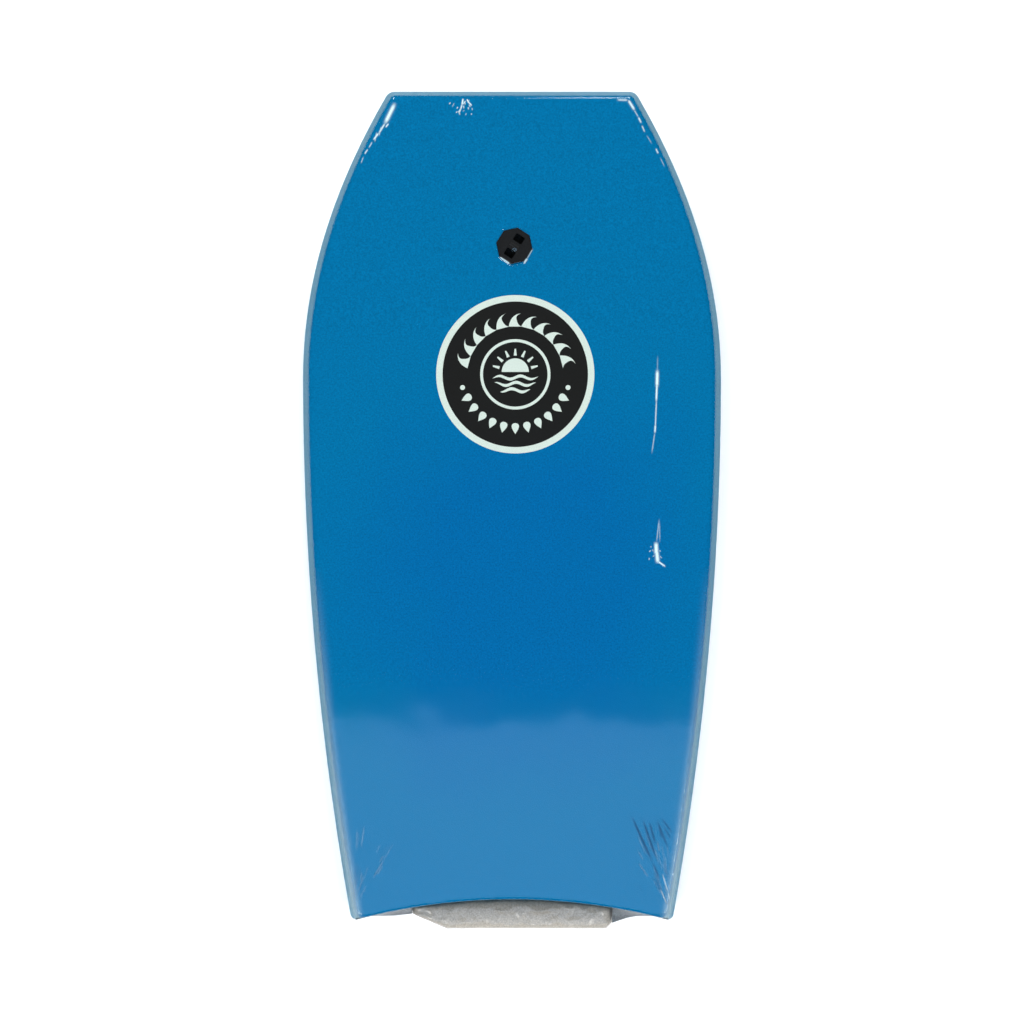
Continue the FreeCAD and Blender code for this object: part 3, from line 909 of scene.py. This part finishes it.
class BODYBOARD_OT_sticker(PieceOperator, bpy.types.Operator):
    """Round sticker: light border, dark field, thin ring, rows of marks and an emblem"""
    bl_idname = "bodyboard.sticker"
    bl_label = "Deck sticker"

    def build(self, scene, p):
        sizes = scene.sticker_sizes
        white = printed_ink("print_light", self.tint("print_white"), True)
        black = printed_ink("print_dark", self.tint("print_black"), False)
        base = laid("sticker_base", ring_mesh(0, STICKER_RADIUS, rows=14), p, 0.20 * MM, 0.19 * MM)
        dress(base, white, "sticker_print", "deck_sticker")
        dark = ring_mesh(0, STICKER_RADIUS - sizes.border, rows=14)
        dress(laid("sticker_field", dark, p, 0.25 * MM, INK), black, "sticker_print")
        thin = ring_mesh(sizes.ring - sizes.ring_line, sizes.ring)
        dress(laid("sticker_ring", thin, p, TOP_INK, INK), white, "sticker_print")
        dots = [disc_outline(side * 66 * MM, -16.5 * MM, 3.1 * MM) for side in (-1, 1)]
        for name, shapes in (("sticker_emblem", sun_and_sea()), ("sticker_dots", dots)):
            dress(flat_outline(name, shapes, p, TOP_INK, INK), white, "sticker_print")
        tree = marks_tree("marks_on_arc")
        rows = (("sticker_crests", wave_shape(16.5 * MM), 165, 15, sizes.crests),
                ("sticker_drops", drop_shape(10 * MM, 14 * MM), 206, 334, sizes.drops))
        for name, outline, first, last, count in rows:
            mark = outline_object(name + "_mark", outline)
            mesh = marks_along(tree, mark, white, sizes.mark_radius, first, last, count)
            work = bmesh.new()
            work.from_mesh(mesh)
            bpy.data.meshes.remove(mesh)
            bmesh.ops.triangulate(work, faces=work.faces)
            dress(laid(name, work, p, TOP_INK, INK), white, "sticker_print")


def bag_back(x):
    """Where the bag's back edge is, at a place across the board."""
    half = (BAG_HIGH.x - BAG_LOW.x) / 2
    back = BAG_LOW.y
    for (wide, deep), past in ((BAG_CUT, -x), (BAG_NICK, x)):
        back += deep * max(0.0, 1 - (half - past) / wide)
    return back


class BODYBOARD_OT_bag(PieceOperator, bpy.types.Operator):
    """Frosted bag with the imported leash, a crinkled pillow in the crescent"""
    bl_idname = "bodyboard.bag"
    bl_label = "Leash bag"

    def build(self, scene, p):
        middle, tall = (BAG_LOW.z + BAG_HIGH.z) / 2, (BAG_HIGH.z - BAG_LOW.z) / 2
        net = Net()
        for side in (1, -1):
            rows = []
            for v in spread(-1, 1, 40):
                row = []
                for u in spread(-1, 1, 180):
                    x = (BAG_HIGH.x - BAG_LOW.x) / 2 * u
                    back = bag_back(x)
                    front = TAIL_Y + crescent_at(p, x, -1.2 * MM)
                    y = back + (front - back) * (v + 1) / 2
                    crown = (1 - abs(u) ** 14) ** 0.5 * (1 - abs(v) ** 5) ** 0.5
                    spot = Vector((x, y, middle + side * tall * crown))
                    fold = noise.ridged_multi_fractal(spot * 42 + Vector((side * 7, 0, 3)),
                                                      0.9, 2.1, 3, 1.0, 2.0)
                    spot.z += side * (fold - 1.0) * 1.3 * MM * crown
                    row.append(spot)
                rows.append(net.add(row))
            net.weave(rows)
        piece = net.object("leash_bag_frosted", recalculate=True)
        dress(piece, frosted_bag(self.tint("bag")), "bag_film", "leash_bag")


def slow_waves(sizes, spot):
    """How far the film stands off its even gap over the deck."""
    waves = noise.noise(spot / sizes.wave_span) + 0.5 * noise.noise(spot * 2.3 / sizes.wave_span)
    return sizes.wave * waves


def flange_distance(spot):
    """Distance from the plug's axis, measured square to the octagon's nearest flat."""
    away = Matrix.Rotation(-PLUG_TURN, 2) @ Vector((spot.x - PLUG_AT.x, spot.y - PLUG_AT.y))
    return max(abs(away @ Vector((math.cos(a), math.sin(a))))
               for a in (0, math.pi / 4, math.pi / 2, 3 * math.pi / 4))


def over_plug(sizes, spot):
    """How far the flange and the bar lift the film."""
    reach = sizes.plug_foot - sizes.plug_flat
    t = min(max((sizes.plug_foot - flange_distance(spot)) / reach, 0), 1)
    along = Vector((spot.x - PLUG_AT.x, spot.y - PLUG_AT.y)).length
    rise = t * t * (3 - 2 * t)
    return sizes.plug_tent * rise + sizes.bar_tent * math.exp(-(along / (7 * MM)) ** 2)


def film_profile(p, gap):
    """Insets and levels of the film round the board, deck edge to bottom edge."""
    profile = rounded_edge(p, p.edge_round, gap)
    low = profile[-1][1]
    for level in spread(low, p.apex + 2 * MM, 4)[1:]:
        profile.append((outer_inset(p, level) - gap, level))
    profile.append((-gap * 0.8, p.apex))
    for level in spread(p.apex - 2 * MM, 2 * MM, 4):
        profile.append((outer_inset(p, level) - gap, level))
    profile.append((outer_inset(p, 0) + 0.4 * MM, -0.1 * MM))
    profile.append((outer_inset(p, 0) + 1.6 * MM, -0.3 * MM))
    return profile


class Crease:
    """A tapered ridge in the film: a row of two ends and a width, its height, its painted
    highlight (white) and its painted shade (dark).
    """

    def __init__(self, row, tall, white, dark=0.0):
        self.start = Vector(row[:2]) * MM
        self.run = Vector(row[2:4]) * MM - self.start
        self.width = row[4] * MM
        self.tall = tall * MM
        self.white = white
        self.dark = dark

    def near(self, spot, margin):
        low = [min(0, c) - margin for c in self.run]
        high = [max(0, c) + margin for c in self.run]
        away = spot - self.start
        return low[0] < away.x < high[0] and low[1] < away.y < high[1]

    def at(self, spot):
        """Share of the full ridge at a place, from 0 to 1."""
        away = spot - self.start
        t = away.dot(self.run) / self.run.length_squared
        if not 0 < t < 1:
            return 0.0
        aside = (away - self.run * t).length / self.width
        return math.exp(-4 * aside ** 2) * min(1.0, 4 * t, 4 * (1 - t))


# Folds and pulls of the film: both ends, width, and how dark or how white it is; a fold's dark is
# painted shade and a pull's white a painted highlight.
# The lengths are in millimetres. Folds are low, and the pulls stand under their heights.
FOLD_HEIGHT = 0.04
SHADED_FOLDS = (
    (148.4, -376, 176.7, -438.6, 2.3, 1), (176, -437, 185, -458, 1.9, 0.7),
    (162.8, -381, 181.8, -435, 2.1, 1), (171.7, -385, 179.8, -415, 2.1, 0.9),
    (180.6, -382, 195.7, -420, 2, 0.8), (183, -388, 188, -408, 1.8, 0.8),
    (186.9, -381, 200.9, -400, 1.9, 0.8), (190, -392, 199, -408, 1.7, 0.7),
    (178, -455, 189.5, -478, 1.6, 0.5), (158, -465, 166, -477, 1.5, 0.3),
)
HIGHLIGHT_PULLS = {
    0.1: (
        (182.3, 198, 181.7, 172, 1.3, 0.25),
    ),
    0.15: (
        (179, 104, 174.8, 74, 1.3, 0.45), (18, 316.5, 26.5, 331, 1.3, 0.5),
    ),
    0.2: (
        (188, -450, 196, -476, 1.5, 0.5), (195, -473, 198.5, -487, 1.5, 0.5),
        (185.5, -469, 194.5, -491, 1.4, 0.45), (201, -447, 206, -468, 1.4, 0.4),
        (203.5, -475, 198.5, -496, 1.4, 0.35), (180.9, 147, 179, 100, 1.4, 0.7),
        (179.5, 112, 178.7, 100, 1.8, 0.9), (184.3, -6, 180.6, -38, 1.4, 0.4),
        (184.6, -9, 184.9, -37, 1.3, 0.32), (-162, 481, -165.5, 468, 1.3, 0.6),
        (-168, 474, -170.5, 461, 1.2, 0.6), (-184.5, 444, -188, 435, 1.3, 0.4),
        (167, 470, 174, 459, 1.3, 0.3), (184, 443, 190, 431, 1.3, 0.3),
        (-60.5, 514.5, -62.1, 505.5, 1.7, 1), (-61.8, 507, -63.8, 500.5, 1.6, 0.9),
        (-63, 502, -66.8, 496.5, 1.5, 0.8), (-66, 499, -64.5, 494, 1.4, 0.6),
        (-57.2, 511.5, -61.2, 506.5, 1.4, 0.8), (-56, 513.5, -53, 507.8, 1.6, 1),
        (-54, 509.8, -49.6, 505, 1.5, 0.9), (-53.6, 507, -51.4, 503.5, 1.3, 0.6),
        (-54.3, 504, -53.9, 500.5, 1.3, 0.6), (-71.3, 509, -74.3, 503.5, 1.2, 0.35),
        (-76, 509.5, -78, 507, 1.4, 0.6), (-16, 320.2, -2, 311.1, 1.7, 0.9),
        (14.5, 311.8, 19.5, 318.8, 1.9, 0.95),
    ),
    0.3: (
        (181.9, 181, 181.3, 156, 3.4, 1), (181.5, 166, 180.4, 138, 2, 1),
        (-153, 484, -157, 479, 1.6, 0.9), (-157, 485, -166, 471, 2, 0.8),
        (-165, 473, -172.5, 463.5, 1.9, 0.9), (-173.5, 462, -178, 454, 1.5, 0.5),
        (-179, 453, -183.5, 446.5, 1.6, 0.7), (129, 512.5, 145, 512, 2.6, 0.5),
        (151, 501, 157, 491, 1.7, 0.4), (156.5, 492, 160.5, 484, 2, 0.7),
        (161, 482, 165, 473, 1.7, 0.6), (178.5, 454, 182, 447, 1.8, 0.65),
    ),
    0.35: (
        (143.5, 513, 152.5, 499, 3, 0.8),
    ),
    0.4: (
        (181.6, -59, 192.5, -67, 1.8, 0.9), (-144.5, 509.5, -158.5, 482, 4.2, 1),
    ),
    0.5: (
        (180.2, -35, 180.7, -53, 4.6, 1), (180.8, -45, 182.6, -63, 4.2, 1),
    ),
}


def film_creases():
    """The pulls and folds that show, with their painted highlights and shade: tail corners, deck,
    nose corners and plug.
    """
    rng = random.Random(41)
    creases = [Crease(row, FOLD_HEIGHT, 0.0, row[5]) for row in SHADED_FOLDS]
    creases += [Crease(row, tall, row[5]) for tall, rows in HIGHLIGHT_PULLS.items() for row in rows]
    # Random creases round the tail corners, with painted shade and a faint painted highlight.
    for corner, low, high, count in ((Vector((200, -499)), 93, 124, 26),
                                     (Vector((-200, -499)), 56, 88, 24)):
        for _ in range(count):
            angle = math.radians(rng.uniform(low, high))
            out = Vector((math.cos(angle), math.sin(angle)))
            start = corner + out * rng.uniform(4, 84)
            end = start + out * rng.uniform(10, 30)
            creases.append(Crease((*start, *end, rng.uniform(1.0, 1.7)), rng.uniform(0.04, 0.12),
                                  rng.uniform(0, 0.12), rng.uniform(0, 0.45)))
    # Short creases in the nose and deck clusters, with painted highlights.
    for low, high, count in (((-69, 496), (-49, 514), 14), ((172, -56), (189, -40), 9)):
        for _ in range(count):
            start = Vector((rng.uniform(low[0], high[0]), rng.uniform(low[1], high[1])))
            angle = rng.uniform(3.7, 5.4)
            end = start + Vector((math.cos(angle), math.sin(angle))) * rng.uniform(1.6, 4)
            creases.append(Crease((*start, *end, rng.uniform(1.0, 1.3)), 0.1,
                                  rng.uniform(0.3, 0.8)))
    return creases


def rail_sheen(p, spot):
    """A painted sheen: how much white is painted into the film along the rails, which grows
    towards the tail.
    """
    s = spot.y - TAIL_Y
    inset = half_width(p, s) - abs(spot.x)
    near_tail = min(max(1 - s / (450 * MM), 0), 1)
    return 0.34 * near_tail * math.exp(-((inset - 10 * MM) / (6 * MM)) ** 2)


def refined(mesh, wanted, cuts):
    """A mesh as a bmesh, with the faces that are wanted cut finer."""
    work = bmesh.new()
    work.from_mesh(mesh)
    faces = [face for face in work.faces if wanted(face.calc_center_median())]
    edges = list({edge for face in faces for edge in face.edges})
    bmesh.ops.subdivide_edges(work, edges=edges, cuts=cuts, use_grid_fill=True)
    return work


class BODYBOARD_OT_film(PieceOperator, bpy.types.Operator):
    """Clear shrink film round the board, tight over the plug, with its pulls and creases"""
    bl_idname = "bodyboard.film"
    bl_label = "Shrink film"

    def build(self, scene, p):
        sizes = scene.film_sizes
        profile = film_profile(p, sizes.gap)
        film = wrapped(p, profile, FINE).object("shrink_film")
        creases = film_creases()

        def wanted(spot):
            if spot.z < p.thickness - p.edge_round / 4:
                return False
            if flange_distance(spot) < sizes.plug_foot + 4 * MM:
                return True
            return any(crease.near(spot.xy, 5 * MM) for crease in creases)

        work = refined(film.data, wanted, 7)
        for name in ("white", "dark"):
            work.verts.layers.float.new(name)
        painted_highlight, painted_fold_shade = (work.verts.layers.float[name] for name in ("white", "dark"))
        for vert in work.verts:
            spot = vert.co.copy()
            if spot.z < p.apex:
                continue
            # Painted sheen along the rails.
            vert[painted_highlight] = rail_sheen(p, spot)
            level = height(p, spot.y - TAIL_Y, profile[0][1])
            below = level - spot.z
            if below > CREASED_EDGE:
                continue
            if below < FLAT_FILM:
                vert.co.z = level + slow_waves(sizes, spot) + over_plug(sizes, spot)
            for crease in creases:
                if crease.near(spot.xy, 3 * MM):
                    share = crease.at(spot.xy)
                    vert.co.z += crease.tall * share
                    # Painted highlight of the pull.
                    vert[painted_highlight] = max(vert[painted_highlight], crease.white * share)
                    # Painted shade of the fold.
                    vert[painted_fold_shade] = max(vert[painted_fold_shade], crease.dark * share)
        work.to_mesh(film.data)
        work.free()
        smooth(film.data)
        dress(film, clear_film(), "clear_film")


def along_line(points, t):
    """A point at a share of the way along straight runs."""
    runs = [(b - a).length for a, b in zip(points, points[1:])]
    goal = t * sum(runs)
    for (a, b), run in zip(zip(points, points[1:]), runs):
        if goal <= run:
            return a.lerp(b, goal / run)
        goal -= run
    return points[-1].copy()


class BODYBOARD_OT_tail_gather(PieceOperator, bpy.types.Operator):
    """Gathered film between each tail tip and the leash bag"""
    bl_idname = "bodyboard.tail_gather"
    bl_label = "Gathered film"

    def build(self, scene, p):
        material = gathered_film()
        outlines = (
            ("film_gather_left", ((-197, 3.0), (-175, 4.0), (-150, 4.5), (-127, 7.0))),
            ("film_gather_right", ((127, -4.5), (136, -1.5), (146, 1.8), (158, 4.0),
                                   (178, 3.8), (197, 3.0))),
        )

        def on_wall(x, level):
            """A point on the tail's wall, just inside the foam's face."""
            y = TAIL_Y + crescent_at(p, x, tail_inset(p, level) - 0.6 * MM)
            return Vector((x, y, level))

        for name, outline in outlines:
            edge = [Vector((x * MM, TAIL_Y + s * MM)) for x, s in outline]
            rows = []
            for t in spread(0, 1, 10):
                row = []
                for u in spread(0, 1, 60):
                    outer = along_line(edge, u)
                    spot = on_wall(outer.x, 44 * MM).lerp(Vector((*outer, 20 * MM)), t)
                    fold = noise.noise(Vector((spot.x * 170, spot.y * 30, 5.0)))
                    spot.z += (0.8 * MM * fold - 2 * MM) * math.sin(math.pi * t)
                    row.append(spot)
                rows.append(row)
            rows.append([on_wall(along_line(edge, u).x, 3 * MM) for u in spread(0, 1, 60)])
            net = Net()
            net.weave([net.add(row) for row in rows][::-1])
            dress(net.object(name), material, "clear_film")


class BODYBOARD_OT_stage(PieceOperator, bpy.types.Operator):
    """Pale floor, soft studio light and the camera"""
    bl_idname = "bodyboard.stage"
    bl_label = "Stage"

    def build(self, scene, p):
        sizes = scene.stage_sizes
        half = sizes.floor_size / 2
        mesh = bpy.data.meshes.new("floor")
        corners = ((-half, -half), (half, -half), (half, half), (-half, half))
        mesh.from_pydata([(x, y, -0.6 * MM) for x, y in corners], [], [(0, 1, 2, 3)])
        floor = placed("floor", mesh)
        material, tree, out, place = new_material("pale_floor")
        base = self.tint("floor")
        tone = ramp(tree, noise_at(tree, place, 3.0), [(0.3, shade(base, 0.99)), (0.7, base)])
        plain_shader(tree, out, tone, 0.9, Specular_IOR_Level=0.1,
                     Emission_Color=(1.0, 1.0, 1.0, 1.0), Emission_Strength=0.3)
        floor.data.materials.append(material)

        scene.world = bpy.data.worlds.new("studio")
        scene.world.use_nodes = True
        sky = scene.world.node_tree.nodes["Background"]
        sky.inputs["Color"].default_value = (1.0, 1.0, 1.0, 1.0)
        sky.inputs["Strength"].default_value = 0.02

        for name, at, size, energy in (
                ("nose_left_softbox", (-1.20, 2.08, 2.2), (1.0, 1.4), 43),
                ("nose_right_softbox", (0.58, 2.33, 2.2), (1.0, 1.4), 43),
                ("tail_left_softbox", (-1.41, -1.94, 2.2), (1.0, 1.4), 43),
                ("tail_right_softbox", (1.78, -1.61, 2.2), (1.0, 1.4), 43),
                ("tail_panel", (0.0, -1.256, 2.75), (2.6, 1.5), 25)):
            lamp = bpy.data.lights.new(name, "AREA")
            lamp.shape = "RECTANGLE"
            lamp.size, lamp.size_y = size
            lamp.energy = energy
            if name == "tail_panel":
                lamp.color = sizes.panel_tint
            light = placed(name, lamp)
            light.location = at
            light.rotation_euler = (-light.location).to_track_quat("-Z", "Y").to_euler()
            light.visible_camera = False

        eye = bpy.data.cameras.new("camera")
        eye.lens = sizes.focal
        eye.sensor_width = 36.0
        scene.camera = placed("camera", eye)
        scene.camera.location = (0, sizes.camera_ahead, sizes.camera_height)
        scene.view_settings.view_transform = "Standard"


class BODYBOARD_PT_panel(bpy.types.Panel):
    """Lists the steps that build the board"""
    bl_label = "Bodyboard"
    bl_idname = "BODYBOARD_PT_panel"
    bl_space_type = "VIEW_3D"
    bl_region_type = "UI"
    bl_category = "Bodyboard"

    def draw(self, context):
        for operator in OPERATORS:
            self.layout.operator(operator.bl_idname)
        for group in PROPERTY_GROUPS:
            settings = getattr(context.scene, group)
            for name in settings.bl_rna.properties.keys():
                if name not in ("rna_type", "name"):
                    self.layout.prop(settings, name)


PROPERTY_GROUPS = {
    "board_sizes": BoardSizes,
    "finish_colours": FinishColours,
    "film_sizes": FilmSizes,
    "sticker_sizes": StickerSizes,
    "stage_sizes": StageSizes,
}
OPERATORS = (
    BODYBOARD_OT_stage,
    BODYBOARD_OT_deck,
    BODYBOARD_OT_rails,
    BODYBOARD_OT_slick,
    BODYBOARD_OT_hardware,
    BODYBOARD_OT_sticker,
    BODYBOARD_OT_bag,
    BODYBOARD_OT_film,
    BODYBOARD_OT_tail_gather,
)


def register():
    for name, group in PROPERTY_GROUPS.items():
        bpy.utils.register_class(group)
        setattr(bpy.types.Scene, name, PointerProperty(type=group))
    for operator in OPERATORS:
        bpy.utils.register_class(operator)
    bpy.utils.register_class(BODYBOARD_PT_panel)


def unregister():
    bpy.utils.unregister_class(BODYBOARD_PT_panel)
    for operator in reversed(OPERATORS):
        bpy.utils.unregister_class(operator)
    for name, group in reversed(list(PROPERTY_GROUPS.items())):
        delattr(bpy.types.Scene, name)
        bpy.utils.unregister_class(group)


def main():
    register()
    for operator in OPERATORS:
        group, name = operator.bl_idname.split(".")
        getattr(getattr(bpy.ops, group), name)()


if __name__ == "__main__":
    main()
